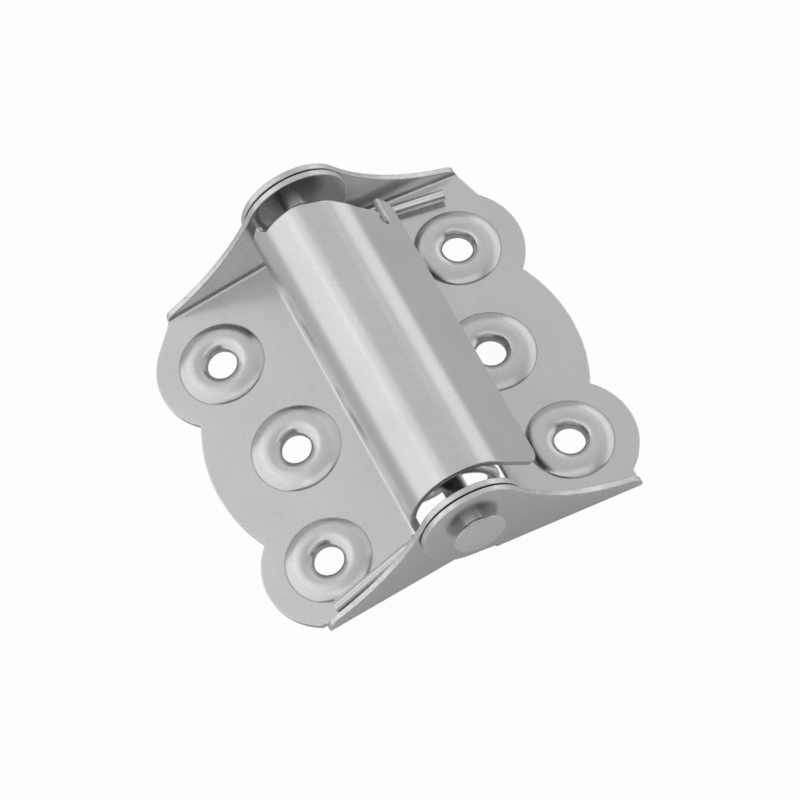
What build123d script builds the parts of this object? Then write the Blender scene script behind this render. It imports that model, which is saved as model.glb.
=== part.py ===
from build123d import *
import os
from math import cos, radians, sin

# A spring loaded door hinge, in millimetres. The pin runs along Y, +Z is up, +X is the plain leaf.
# The origin is on the surface that the scalloped edges rest on, under the middle of the pin.

# Sheet and folds
sheet = 1.1
bend_radius = 0.6
leaf_droop = 8.05
pin_height = 10.1

# Screw holes and the scalloped outline of a leaf, measured from the pin
outer_hole_x = 23.65
middle_hole_x = 19.55
hole_inset = 13.65
hole_shift = -0.95
lobe_radius = 11.37
belly_radius = 28.0
belly_reach = 34.5

# Raised screw seats
outer_seat_radius = 7.35
middle_seat_radius = 7.65
seat_crest_radius = 4.4
seat_crest = 0.8
seat_lip = 0.3
hole_radius = 2.8

# Ears and knuckles
hinge_length = 68.5
ear_gap = 0.1
knuckle_radius = 9.2
brow_angle = 38.0
ear_root_x = 4.0
flange_reach = 2.15
plain_foot_x = 30.4
plain_far_foot_x = 29.6
cover_foot_x = 28.8
cover_far_foot_x = 27.3
near_foot_height = 2.3
far_foot_height = 0.3
foot_round = 1.7
foot_round_share = 0.9
plain_inner_x = 11.2

# Hinge pin
pin_radius = 2.0
pin_play = 0.07
head_radius = 4.6
head_thickness = 0.5
head_play = 1.4
head_edge = 0.2
rivet_radius = 3.4
rivet_play = 0.1

# Barrel cover, rolled about a line off the pin towards the tail and away from the plate
cover_radius = 9.5
cover_offset_x = 0.5
cover_offset_z = 0.33
cover_near_gap = 2.7
cover_wall_gap = 2.45
cover_far_gap = 4.7
cover_far_step = 3.05
cover_step_x = -1.7
shoulder_x = -7.9
shoulder_slant = 0.9
shoulder_step = 1.45
shoulder_height = 4.4
tail_angle = 37.0
tail_length = 10.6
tail_near_slant = 1.2
tail_near_corner = 3.0
tail_far_corner = 2.2
tail_slot_inset = 4.75
tail_slot_width = 1.4
tail_slot_depth = 1.6
relief_flat = 0.35
near_relief_length = 3.9
near_relief_height = 8.6

# Torsion spring, its ends placed from the inner faces of the cover leaf's ears
wire_radius = 1.0
coil_radius = 6.5
coil_near_gap = 5.25
coil_far_gap = 3.35
turn_gap = 0.1
leg_slope = 19.0
leg_bend_radius = 4.0
leg_clearance = 0.1
near_leg_x = 26.5
near_leg_gap = 1.65
far_leg_x = 26.0
far_leg_gap = 2.45

# Worked out sizes
droop = radians(leaf_droop)
lobe_reach = outer_hole_x + lobe_radius
under_plate = pin_height + sheet
pin_z = lobe_reach * sin(droop) + under_plate * cos(droop)
plain_ear_y = hinge_length / 2
cover_ear_y = plain_ear_y - sheet - ear_gap
inside_y = cover_ear_y - sheet
hole_pitch = plain_ear_y - hole_inset
flange_start_y = inside_y - flange_reach
wall_x = cover_radius - cover_offset_x
relief_x = wall_x + bend_radius + relief_flat
cover_near_y = cover_near_gap - inside_y
cover_wall_y = inside_y - cover_wall_gap
cover_far_y = inside_y - cover_far_gap
cover_step_y = cover_far_y - cover_far_step
tail_tilt = radians(tail_angle)
tail_normal = Vector(cos(tail_tilt), 0, sin(tail_tilt))
pin_centre = Vector(0, 0, pin_z)
pin_axis = Axis(pin_centre, (0, 1, 0))

PLAIN = 1
COVER = -1


def outward(side):
    """Direction away from the pin in a leaf's plate."""
    return Vector(side * cos(droop), 0, -sin(droop))


def upward(side):
    """Direction square to a leaf's plate, on the side of the barrel."""
    return Vector(side * sin(droop), 0, cos(droop))


def plate_plane(side):
    """Top face of a plate, its origin below the pin and x outwards."""
    origin = pin_centre - upward(side) * pin_height
    return Plane(origin=origin, x_dir=outward(side), z_dir=upward(side))


def across_plane(side, y=0.0):
    """Plane across the pin, with x outwards along a leaf and y square to its plate."""
    origin = pin_centre + Vector(0, y, 0)
    return Plane(origin=origin, x_dir=outward(side), z_dir=(0, -side, 0))


def channel_plane(side):
    """Plane along the pin and square to a plate, where the ears' folds begin, facing outwards."""
    origin = pin_centre + outward(side) * ear_root_x
    return Plane(origin=origin, x_dir=(0, side, 0), z_dir=outward(side))


def seat_places(side):
    """Centre and radius of each raised screw seat in a plate's plane."""
    near, far = (side * (hole_shift - hole_pitch), side * (hole_shift + hole_pitch))
    return [
        (outer_hole_x, near, outer_seat_radius),
        (outer_hole_x, far, outer_seat_radius),
        (middle_hole_x, side * hole_shift, middle_seat_radius),
    ]


def channel_section(side, ear_y):
    """The sheet folded up at both ends of the pin, seen along the plate."""
    with BuildSketch(channel_plane(side)) as section:
        with BuildLine():
            under = FilletPolyline(
                (-ear_y, knuckle_radius),
                (-ear_y, -under_plate),
                (ear_y, -under_plate),
                (ear_y, knuckle_radius),
                radius=bend_radius + sheet,
            )
            over = FilletPolyline(
                (sheet - ear_y, knuckle_radius),
                (sheet - ear_y, -pin_height),
                (ear_y - sheet, -pin_height),
                (ear_y - sheet, knuckle_radius),
                radius=bend_radius,
            )
            Line(under @ 0, over @ 0)
            Line(under @ 1, over @ 1)
        make_face()
    return section.sketch


def plate_outline(side, ear_y, inner_x, foot_x):
    """Plan of a leaf: two lobes round the outer holes, a belly between them and an ear at each end."""
    flat_y = ear_y - sheet - bend_radius
    with BuildSketch(plate_plane(side)) as outline:
        with Locations(((inner_x + foot_x) / 2, 0)):
            Rectangle(foot_x - inner_x, 2 * flat_y)
        with Locations((belly_reach - belly_radius, side * hole_shift)):
            Circle(belly_radius)
        with Locations(*[(x, y) for x, y, radius in seat_places(side)[:2]]):
            Circle(lobe_radius)
        with Locations((inner_x + lobe_reach / 2, 0)):
            Rectangle(lobe_reach, 2 * flat_y, mode=Mode.INTERSECT)
        for end in (-1, 1):
            with Locations(((foot_x - knuckle_radius) / 2, end * (flange_start_y + ear_y) / 2)):
                Rectangle(foot_x + knuckle_radius, ear_y - flange_start_y)
    return outline.sketch


def ear_outline(side, foot_x, foot_height):
    """Side view of a leaf: the knuckle, the hollow brow down to the foot, and the plate's thickness."""
    corner = min(foot_round, foot_round_share * foot_height)
    brow_start = Vector(knuckle_radius, 0).rotate(Axis.Z, brow_angle)
    brow_end = Vector(foot_x - corner, foot_height - pin_height)
    downhill = Vector(0, -1).rotate(Axis.Z, brow_angle)
    with BuildSketch(across_plane(side)) as outline:
        with BuildLine():
            brow = TangentArc(brow_start, brow_end, tangent=downhill)
            foot = TangentArc(brow @ 1, (foot_x, brow_end.Y - corner), tangent=brow % 1)
            Polyline(
                foot @ 1,
                (foot_x, -pin_height),
                (lobe_reach + sheet, -pin_height),
                (lobe_reach + sheet, -under_plate),
                (ear_root_x, -under_plate),
                (ear_root_x, 0),
                brow @ 0,
            )
        make_face()
        Circle(knuckle_radius)
    return outline.sketch


def seat_curve(radius, drop):
    """One face of a raised seat, from its rim over the crest to the hole."""
    crest = (seat_crest_radius, seat_crest - drop)
    rise = TangentArc(crest, (radius, -drop), tangent=(1, 0))
    sink = TangentArc(crest, (hole_radius, seat_lip - drop), tangent=(-1, 0))
    return rise @ 1, sink @ 1


def seat_section(side, x, y, radius):
    """Half section of a raised seat, pressed up from the plate with its thickness kept."""
    top = plate_plane(side)
    with BuildSketch(Plane(top.from_local_coords((x, y, 0)), x_dir=top.x_dir, z_dir=-top.y_dir)) as section:
        with BuildLine():
            upper_rim, upper_lip = seat_curve(radius, 0)
            lower_rim, lower_lip = seat_curve(radius, sheet)
            Line(upper_rim, lower_rim)
            Line(upper_lip, lower_lip)
        make_face()
    return section.sketch


def leaf_side_view(side, near_foot_x, far_foot_x):
    """All that lies inside a leaf's side outlines, the far ear running out lower than the near one."""
    with BuildPart() as inside:
        extrude(ear_outline(side, near_foot_x, near_foot_height), dir=(0, -1, 0), amount=hinge_length)
        extrude(ear_outline(side, far_foot_x, far_foot_height), dir=(0, 1, 0), amount=hinge_length)
    return inside.part


def folded_leaf(side, ear_y, inner_x, foot_x, far_foot_x, bore_radius):
    """A leaf's plate with its scalloped edge, two ears, raised screw seats and the bore for the pin."""
    top = plate_plane(side)
    with BuildPart() as leaf:
        extrude(channel_section(side, ear_y), amount=lobe_reach)
        extrude(plate_outline(side, ear_y, inner_x, foot_x), amount=hinge_length, both=True, mode=Mode.INTERSECT)
        add(leaf_side_view(side, foot_x, far_foot_x), mode=Mode.INTERSECT)
        for end in (-1, 1):
            with BuildSketch(across_plane(side, end * (ear_y - sheet / 2))) as knuckle:
                Circle(knuckle_radius)
            extrude(knuckle.sketch, amount=sheet / 2, both=True)
        for x, y, radius in seat_places(side):
            with BuildSketch(Plane(top.from_local_coords((x, y, 0)), z_dir=top.z_dir)) as disc:
                Circle(radius)
            extrude(disc.sketch, amount=-2 * sheet, mode=Mode.SUBTRACT)
            seat_axis = Axis(top.from_local_coords((x, y, 0)), top.z_dir)
            revolve(seat_section(side, x, y, radius), axis=seat_axis)
        with BuildSketch(across_plane(side)) as bore:
            Circle(bore_radius)
        extrude(bore.sketch, amount=hinge_length, both=True, mode=Mode.SUBTRACT)
    return leaf.part


def cover_face_line(inset):
    """One face of the rolled cover, from the plate up the wall, over the barrel and down the tail."""
    fold = CenterArc((wall_x + bend_radius, bend_radius - pin_height), bend_radius + inset, 270, -90)
    roll = CenterArc((-cover_offset_x, cover_offset_z), cover_radius - inset, 0, 180 + leaf_droop - tail_angle)
    flat = Line(fold @ 0, (relief_x, -pin_height - inset))
    Line(fold @ 1, roll @ 0)
    tail = Line(roll @ 1, (roll @ 1) + (roll % 1) * tail_length)
    return flat @ 1, tail @ 1


def tail_plane():
    """Outer face of the cover's tail, x along the pin and y up the tail from its edge."""
    roll_centre = across_plane(COVER).from_local_coords((-cover_offset_x, cover_offset_z, 0))
    edge = roll_centre + tail_normal * cover_radius + Vector(sin(tail_tilt), 0, -cos(tail_tilt)) * tail_length
    return Plane(edge, x_dir=(0, 1, 0), z_dir=tail_normal)


def resting_wire_plane(side):
    """Plane of the spring wire's centre line where a leg lies along a plate."""
    return plate_plane(side).offset(wire_radius + leg_clearance)


def leg_knee(side, touch, direction):
    """Where a leg that leaves the coil in a straight line comes down to its plate."""
    rest = resting_wire_plane(side)
    drop = (rest.origin - touch).dot(rest.z_dir) / direction.dot(rest.z_dir)
    return touch + direction * drop


with BuildPart() as plain_leaf:
    add(folded_leaf(PLAIN, plain_ear_y, plain_inner_x, plain_foot_x, plain_far_foot_x, pin_radius + pin_play))

with BuildPart() as cover_leaf:
    with BuildSketch(across_plane(COVER, cover_near_y)) as cover_section:
        with BuildLine():
            outer_start, outer_end = cover_face_line(0)
            inner_start, inner_end = cover_face_line(sheet)
            Line(outer_start, inner_start)
            Line(outer_end, inner_end)
        make_face()
    extrude(amount=cover_wall_y - cover_near_y)
    roll_end_x = tail_plane().from_local_coords((0, tail_length, 0)).X
    with BuildSketch(Plane.XY.offset(pin_z)) as far_step:
        with BuildLine():
            Polyline(
                (cover_step_x, cover_wall_y),
                (cover_step_x, cover_far_y),
                (roll_end_x, cover_step_y),
                (roll_end_x, cover_far_y),
                (2 * cover_radius, cover_far_y),
                (2 * cover_radius, cover_wall_y),
                close=True,
            )
        make_face()
    extrude(amount=2 * cover_radius, both=True, mode=Mode.SUBTRACT)
    with BuildSketch(Plane.XY.offset(pin_z + shoulder_height)) as shoulder:
        with BuildLine():
            Polyline(
                (shoulder_x, cover_wall_y),
                (shoulder_x, cover_far_y + shoulder_step),
                (shoulder_x + shoulder_slant, cover_far_y),
                (cover_step_x, cover_far_y),
                (cover_step_x, cover_wall_y),
                close=True,
            )
        make_face()
    extrude(amount=cover_radius, mode=Mode.SUBTRACT)
    with BuildSketch(tail_plane()) as near_slant:
        with BuildLine():
            Polyline(
                (cover_near_y, tail_length),
                (cover_near_y + tail_near_slant, 0),
                (cover_near_y, 0),
                close=True,
            )
        make_face()
    extrude(amount=2 * sheet, both=True, mode=Mode.SUBTRACT)
    tail_corners = cover_leaf.edges().filter_by(Axis((0, 0, 0), tail_normal)).sort_by(Axis.X)[-2:].sort_by(Axis.Y)
    fillet(tail_corners[0], tail_near_corner)
    tail_corners = cover_leaf.edges().filter_by(Axis((0, 0, 0), tail_normal)).sort_by(Axis.Y)
    fillet(tail_corners[-1], tail_far_corner)
    tab_height = tail_length - tail_slot_inset + tail_slot_width / 2
    with BuildSketch(tail_plane()) as tail_slot:
        with Locations((cover_step_y - tail_slot_depth / 2, tail_slot_inset)):
            SlotOverall(tail_slot_depth + tail_slot_width, tail_slot_width)
        with Locations((cover_step_y, tail_slot_inset - tail_slot_width / 2)):
            Rectangle(cover_far_step, tab_height, align=(Align.MIN, Align.MIN))
    extrude(amount=2 * sheet, both=True, mode=Mode.SUBTRACT)
    with BuildSketch(plate_plane(COVER)) as near_relief:
        with Locations(((ear_root_x + relief_x) / 2, -cover_near_y - near_relief_length / 2)):
            Rectangle(relief_x - ear_root_x, near_relief_length)
    extrude(amount=near_relief_height, mode=Mode.SUBTRACT)
    extrude(near_relief.sketch, amount=-2 * sheet, mode=Mode.SUBTRACT)
    add(folded_leaf(COVER, cover_ear_y, relief_x, cover_foot_x, cover_far_foot_x, pin_radius))

with BuildPart() as hinge_pin:
    head_y = plain_ear_y + head_play
    rivet_y = plain_ear_y + rivet_play
    end_y = head_y + head_thickness
    with BuildSketch(Plane(pin_centre, x_dir=(0, 1, 0), z_dir=(1, 0, 0))) as pin_section:
        with BuildLine():
            Polyline(
                (-end_y, 0),
                (-end_y, head_radius - head_edge),
                (head_edge - end_y, head_radius),
                (-head_edge - head_y, head_radius),
                (-head_y, head_radius - head_edge),
                (-head_y, pin_radius),
                (rivet_y, pin_radius),
                (rivet_y, rivet_radius),
                ((rivet_y + end_y) / 2, rivet_radius),
                (end_y, pin_radius),
                (end_y, 0),
                close=True,
            )
        make_face()
    revolve(axis=pin_axis)

with BuildPart() as torsion_spring:
    with BuildLine() as wire_line:
        coil_near_y = coil_near_gap - inside_y
        coil_length = 2 * inside_y - coil_near_gap - coil_far_gap
        turns = coil_length // (2 * wire_radius + turn_gap) - 2 * leg_slope / 360
        first_touch = Vector(0, 0, -1).rotate(Axis.Y, -leg_slope)
        coil_plane = Plane(pin_centre + Vector(0, coil_near_y, 0), x_dir=first_touch, z_dir=(0, 1, 0))
        coil = coil_plane * Helix(coil_length / turns, coil_length, coil_radius, lefthand=True, mode=Mode.PRIVATE)
        near_knee = leg_knee(COVER, coil @ 0, (coil % 0) * -1)
        far_knee = leg_knee(PLAIN, coil @ 1, coil % 1)
        near_end = resting_wire_plane(COVER).from_local_coords((near_leg_x, inside_y - near_leg_gap, 0))
        far_end = resting_wire_plane(PLAIN).from_local_coords((far_leg_x, inside_y - far_leg_gap, 0))
        near_leg = FilletPolyline(near_end, near_knee, coil @ 0, radius=leg_bend_radius)
        add(coil)
        FilletPolyline(coil @ 1, far_knee, far_end, radius=leg_bend_radius)
    with BuildSketch(Plane(near_leg @ 0, z_dir=near_leg % 0)):
        Circle(wire_radius)
    sweep()

os.makedirs("parts", exist_ok=True)
pieces = {
    "plain_leaf": plain_leaf,
    "cover_leaf": cover_leaf,
    "hinge_pin": hinge_pin,
    "torsion_spring": torsion_spring,
}
for name, piece in pieces.items():
    piece.part.label = name
    export_step(piece.part, f"parts/{name}.step")
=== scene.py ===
"""A spring loaded door hinge: two plated leaves on a headed pin, a torsion spring and a rolled cover.

The row frame is in metres: the pin runs along Y, +Z is up and +X is the plain leaf. The pieces are worked
out in millimetres. A leaf starts as a flat blank, which is then pressed, folded and rolled into shape.
"""

import logging
from abc import ABC, abstractmethod
from collections.abc import Callable
from dataclasses import dataclass, field
from enum import Enum
from math import acos, atan2, ceil, cos, hypot, pi, radians, sin, sqrt, tan

import bmesh
import bpy
import numpy as np
from mathutils import Matrix, Vector
from mathutils.geometry import delaunay_2d_cdt


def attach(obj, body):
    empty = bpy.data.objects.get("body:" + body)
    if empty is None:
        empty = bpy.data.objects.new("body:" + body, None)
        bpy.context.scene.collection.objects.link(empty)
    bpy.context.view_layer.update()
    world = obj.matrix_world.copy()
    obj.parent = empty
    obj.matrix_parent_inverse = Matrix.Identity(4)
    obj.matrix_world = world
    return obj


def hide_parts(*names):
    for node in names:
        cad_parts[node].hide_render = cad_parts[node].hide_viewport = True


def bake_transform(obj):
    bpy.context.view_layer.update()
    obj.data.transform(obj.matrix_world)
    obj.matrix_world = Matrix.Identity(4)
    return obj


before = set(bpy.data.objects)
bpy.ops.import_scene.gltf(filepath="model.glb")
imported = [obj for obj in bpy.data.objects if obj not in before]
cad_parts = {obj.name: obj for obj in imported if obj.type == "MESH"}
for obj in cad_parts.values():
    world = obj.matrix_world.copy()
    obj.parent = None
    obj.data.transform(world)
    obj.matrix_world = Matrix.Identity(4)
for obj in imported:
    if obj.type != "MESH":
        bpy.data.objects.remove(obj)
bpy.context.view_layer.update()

log = logging.getLogger("hinge")

MM = 0.001
QUARTER = pi / 2
CREASE = radians(35)  # a sharper edge isn't shaded smooth
TOUCHING = 2e-4  # points of a blank that are closer are one, in millimetres
NO_LENGTH = 1e-5  # a shorter edge counts as none, in millimetres
SHORTEST_MITRE = 0.5  # keeps a sharp corner of an inset outline from running far out
CLOSING_PASSES = 6  # how often an inset outline is searched for edges that turn back


class Side(Enum):
    """Which way a leaf lies from the pin."""

    PLAIN = 1
    COVER = -1


class End(Enum):
    """Which end of the pin, along Y."""

    NEAR = -1
    FAR = 1


class Step(Enum):
    """How an outline changes a blank."""

    ADD = "add"
    REMOVE = "remove"
    KEEP_INSIDE = "keep inside"


class Socket:
    """An output socket whose arithmetic adds Math nodes."""

    def __init__(self, shader: "Shader", link: bpy.types.NodeSocket) -> None:
        """Keeps the shader that owns the socket."""
        self.shader = shader
        self.link = link

    def math(self, operation: str, first: "Socket | float", second: "Socket | float") -> "Socket":
        """Adds one Math node.

        Args:
            operation: The node's operation.
            first: Its first value.
            second: Its second value.

        Returns:
            The node's result.
        """
        return self.shader.node("ShaderNodeMath", {"operation": operation}, {0: first, 1: second})

    def __add__(self, other: "Socket | float") -> "Socket":
        """Sum."""
        return self.math("ADD", self, other)

    def __radd__(self, other: float) -> "Socket":
        """Sum, reflected."""
        return self.math("ADD", other, self)

    def __sub__(self, other: "Socket | float") -> "Socket":
        """Difference."""
        return self.math("SUBTRACT", self, other)

    def __rsub__(self, other: float) -> "Socket":
        """Difference, reflected."""
        return self.math("SUBTRACT", other, self)

    def __mul__(self, other: "Socket | float") -> "Socket":
        """Product."""
        return self.math("MULTIPLY", self, other)

    def __rmul__(self, other: float) -> "Socket":
        """Product, reflected."""
        return self.math("MULTIPLY", other, self)


class Shader:
    """A node tree that is emptied and then built through one method for any node."""

    def __init__(self, owner: bpy.types.Material | bpy.types.World) -> None:
        """Empties the owner's node tree.

        Args:
            owner: The material or world that has the tree.
        """
        owner.use_nodes = True
        self.tree = owner.node_tree
        self.tree.nodes.clear()

    def node(
        self,
        kind: str,
        settings: dict[str, object] | None = None,
        inputs: dict[int | str, object] | None = None,
        output: int | str | None = 0,
    ) -> Socket | None:
        """Adds any node.

        Args:
            kind: The node's type.
            settings: Its settings, with a ramp's places and greys under "stops".
            inputs: Values or sockets for its inputs, by name or place.
            output: The output that is wanted, if any.

        Returns:
            That output.
        """
        made = self.tree.nodes.new(kind)
        for name, value in (settings or {}).items():
            if name == "stops":
                stops = made.color_ramp.elements
                while len(stops) < len(value):
                    stops.new(1.0)
                for stop, (place, grey) in zip(stops, value):
                    stop.position = place
                    stop.color = (grey, grey, grey, 1)
            else:
                setattr(made, name, value)
        for name, value in (inputs or {}).items():
            if isinstance(value, Socket):
                self.tree.links.new(value.link, made.inputs[name])
            else:
                made.inputs[name].default_value = value
        return None if output is None else Socket(self, made.outputs[output])

    def mixed(self, share: Socket | float, first: Socket | tuple, second: Socket | tuple) -> Socket:
        """Mixes two colours.

        Args:
            share: How much of the second colour there is.
            first: The colour at a share of 0.
            second: The colour at a share of 1.

        Returns:
            The mixed colour.
        """
        colours = {0: share, 6: first, 7: second}
        return self.node("ShaderNodeMix", {"data_type": "RGBA"}, colours, output=2)

    def noise(
        self,
        scale: float,
        detail: float = 3.0,
        stretch: tuple[float, float, float] = (1, 1, 1),
        turn: tuple[float, float, float] = (0, 0, 0),
    ) -> Socket:
        """Adds a noise over the piece.

        Args:
            scale: Cells in a metre.
            detail: Octaves.
            stretch: How much each direction is squeezed.
            turn: Angles that the pattern is turned by.

        Returns:
            The noise, from 0 to 1.
        """
        place = self.node("ShaderNodeTexCoord", output="Object")
        mapping = {"Vector": place, "Rotation": turn, "Scale": stretch}
        place = self.node("ShaderNodeMapping", inputs=mapping)
        return self.node("ShaderNodeTexNoise", inputs={"Vector": place, "Scale": scale, "Detail": detail})

    def ramp(self, value: Socket, stops: list[tuple[float, float]]) -> Socket:
        """Reshapes a value through a ramp of greys."""
        return self.node("ShaderNodeValToRGB", {"stops": stops}, {"Fac": value})

    def surface(self, shader: Socket, kind: str = "ShaderNodeOutputMaterial") -> None:
        """Links a shader to the tree's output."""
        self.node(kind, inputs={"Surface": shader}, output=None)


def grey(value: float) -> tuple[float, float, float, float]:
    """A faintly cool grey of a plated surface."""
    return (value, value * 1.003, value * 1.008, 1.0)


@dataclass(frozen=True)
class Finish(ABC):
    """A bare metal finish that varies between two greys."""

    name: str
    light: float
    dark: float
    roughness: float
    tone_low: float = 0.35
    tone_high: float = 0.65
    relief: float = 0.5

    def material(self) -> bpy.types.Material:
        """Builds the material.

        Returns:
            The material.
        """
        made = bpy.data.materials.new(self.name)
        self.dress(Shader(made))
        return made

    @abstractmethod
    def dress(self, shader: Shader) -> None:
        """Builds the finish in an empty node tree."""

    def toned(self, shader: Shader, tone: Socket) -> Socket:
        """Turns a value into a colour between the light grey and the dark one."""
        share = shader.ramp(tone, [(self.tone_low, 0.0), (self.tone_high, 1.0)])
        return shader.mixed(share, grey(self.light), grey(self.dark))

    def metal(
        self, shader: Shader, colour: Socket, roughness: Socket, height: Socket, depth: float
    ) -> None:
        """Makes the surface a bare metal.

        Args:
            shader: The node tree.
            colour: Its colour.
            roughness: Its roughness.
            height: The height of its fine relief.
            depth: How deep the relief is, in metres.
        """
        relief = {"Height": height, "Strength": self.relief, "Distance": depth}
        bump = shader.node("ShaderNodeBump", inputs=relief)
        finish = {"Base Color": colour, "Metallic": 1.0, "Roughness": roughness, "Normal": bump}
        shader.surface(shader.node("ShaderNodeBsdfPrincipled", inputs=finish))


@dataclass(frozen=True)
class Plating(Finish):
    """Bright zinc plating on a rolled sheet: clouded, faintly grained and scratched in handling."""

    light: float = 0.74
    dark: float = 0.66
    roughness: float = 0.25
    tone_low: float = 0.32
    tone_high: float = 0.68
    clouding: float = 0.09
    cloud_scale: float = 75.0
    mottling: float = 0.06
    mottle_scale: float = 1530.0
    grain_scale: float = 900.0
    grain_depth: float = 0.000012
    scratch_scale: float = 420.0
    scratch_share: float = 0.2
    scratch_glint: float = 0.2
    scratch_roughness: float = 0.1

    def dress(self, shader: Shader) -> None:
        """Builds the clouds, the grain and the scratches.

        Args:
            shader: The empty node tree.
        """
        clouds = shader.noise(self.cloud_scale, 5.0)
        mottle = shader.noise(self.mottle_scale, 2.0)
        grain = shader.noise(self.grain_scale, 4.0, stretch=(1.0, 0.07, 1.0))
        strokes = shader.noise(self.scratch_scale, 2.0, stretch=(1.0, 9.0, 0.6), turn=(0.2, 0.3, 0.9))
        scratches = shader.ramp(strokes, [(0.0, 0.0), (0.70, 0.0), (0.735, 1.0), (0.77, 0.0)])
        colour = self.toned(shader, clouds * 0.55 + mottle * 0.3 + grain * 0.15)
        glint = grey(min(1.0, self.light + self.scratch_glint))
        colour = shader.mixed(scratches * self.scratch_share, colour, glint)
        rough = self.roughness + (clouds - 0.5) * self.clouding + (mottle - 0.5) * self.mottling
        rough = rough + scratches * self.scratch_roughness
        height = grain * 0.6 + mottle * 0.4 - scratches * 0.4
        self.metal(shader, colour, rough, height, self.grain_depth)


@dataclass(frozen=True)
class ShearedEdge(Finish):
    """The cut edge of a plated sheet, drawn through its thickness by the punch."""

    light: float = 0.80
    dark: float = 0.62
    roughness: float = 0.36
    unevenness: float = 0.2
    line_scale: float = 1500.0
    break_scale: float = 450.0
    line_depth: float = 0.00003

    def dress(self, shader: Shader) -> None:
        """Builds the lines that the punch draws.

        Args:
            shader: The empty node tree.
        """
        lines = shader.noise(self.line_scale, 3.0, stretch=(1.0, 1.0, 0.15))
        breaks = shader.noise(self.break_scale, 2.0)
        colour = self.toned(shader, lines * 0.6 + breaks * 0.4)
        rough = self.roughness + (lines - 0.5) * self.unevenness
        self.metal(shader, colour, rough, lines, self.line_depth)


@dataclass(frozen=True)
class DrawnWire(Finish):
    """Plated spring wire, softly clouded and finely speckled."""

    light: float = 0.92
    dark: float = 0.80
    roughness: float = 0.24
    relief: float = 0.4
    clouding: float = 0.14
    cloud_scale: float = 216.0
    speckle_scale: float = 1800.0
    speckle_depth: float = 0.000015

    def dress(self, shader: Shader) -> None:
        """Builds the speckle and the clouds.

        Args:
            shader: The empty node tree.
        """
        speckle = shader.noise(self.speckle_scale, 3.0)
        clouds = shader.noise(self.cloud_scale, 3.0)
        colour = self.toned(shader, speckle * 0.5 + clouds * 0.5)
        rough = self.roughness + (clouds - 0.5) * self.clouding
        self.metal(shader, colour, rough, speckle, self.speckle_depth)


def edge_ends(loops: list[np.ndarray]) -> tuple[np.ndarray, np.ndarray]:
    """Where the edges of some closed outlines start, and where they end."""
    return np.concatenate(loops), np.concatenate([np.roll(loop, -1, axis=0) for loop in loops])


def enclosed(points: np.ndarray, loops: list[np.ndarray]) -> np.ndarray:
    """Says which points are inside some closed outlines.

    Args:
        points: Points to test.
        loops: Closed outlines.

    Returns:
        True for each point with an odd number of edges to its right.
    """
    starts, ends = edge_ends(loops)
    x, y = points[:, :1], points[:, 1:]
    spans = (starts[:, 1] > y) != (ends[:, 1] > y)
    rise = ends[:, 1] - starts[:, 1]
    rise = np.where(rise == 0, 1.0, rise)
    meets = starts[:, 0] + (ends[:, 0] - starts[:, 0]) * (y - starts[:, 1]) / rise
    return np.count_nonzero(spans & (x < meets), axis=1) % 2 == 1


def far_from(points: np.ndarray, loops: list[np.ndarray], distance: float) -> np.ndarray:
    """Says which points keep clear of some closed outlines.

    Args:
        points: Points to test.
        loops: Closed outlines.
        distance: How far from them is clear.

    Returns:
        True for each point that is further than that from every edge.
    """
    starts, ends = edge_ends(loops)
    along = ends - starts
    length = np.maximum((along**2).sum(1), NO_LENGTH**2)
    share = ((points[:, None, :] - starts) * along).sum(2) / length
    nearest = starts + np.clip(share, 0, 1)[:, :, None] * along
    return np.linalg.norm(points[:, None, :] - nearest, axis=2).min(axis=1) > distance


def circle(centre: tuple[float, float], radius: float, count: int, start: float = 0.0) -> np.ndarray:
    """Points round a circle.

    Args:
        centre: Its centre.
        radius: Its radius.
        count: How many points it has.
        start: The angle of the first one.

    Returns:
        The points.
    """
    turns = start + np.arange(count) * 2 * pi / count
    return np.stack([centre[0] + radius * np.cos(turns), centre[1] + radius * np.sin(turns)], 1)


def rectangle(low: tuple[float, float], high: tuple[float, float]) -> np.ndarray:
    """Corners of a rectangle."""
    return np.array([low, (high[0], low[1]), high, (low[0], high[1])], float)


def tangent_arc(start: Vector, heading: Vector, end: Vector, count: int) -> tuple[list[Vector], Vector]:
    """An arc that leaves a point in a direction and ends at another point.

    Args:
        start: Where it starts.
        heading: The unit direction in which it leaves.
        end: Where it ends.
        count: How many parts it is divided into.

    Returns:
        Its points, and its direction at the end.
    """
    chord = end - start
    normal = Vector((-heading.y, heading.x))
    centre = start + normal * (chord.length_squared / (2 * normal.dot(chord)))
    sweep = 2 * atan2(heading.x * chord.y - heading.y * chord.x, heading.dot(chord))
    spoke = start - centre
    points = [centre + Matrix.Rotation(sweep * k / count, 2) @ spoke for k in range(count + 1)]
    return points, Matrix.Rotation(sweep, 2) @ heading


def spaced(loop: np.ndarray, step: float) -> np.ndarray:
    """Divides the long edges of a closed outline, after dropping points that nearly touch.

    Args:
        loop: Its points.
        step: The longest edge that is left.

    Returns:
        The new points.
    """
    closest = step / 6
    apart = [loop[0]]
    for point in loop[1:]:
        if hypot(*(point - apart[-1])) > closest:
            apart.append(point)
    if hypot(*(apart[0] - apart[-1])) <= closest:
        apart.pop()
    kept = np.array(apart)
    parts = []
    for start, end in zip(kept, np.roll(kept, -1, axis=0)):
        count = max(1, ceil(hypot(*(end - start)) / step))
        parts.append(start + (end - start) * np.arange(count)[:, None] / count)
    return np.concatenate(parts)


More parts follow.
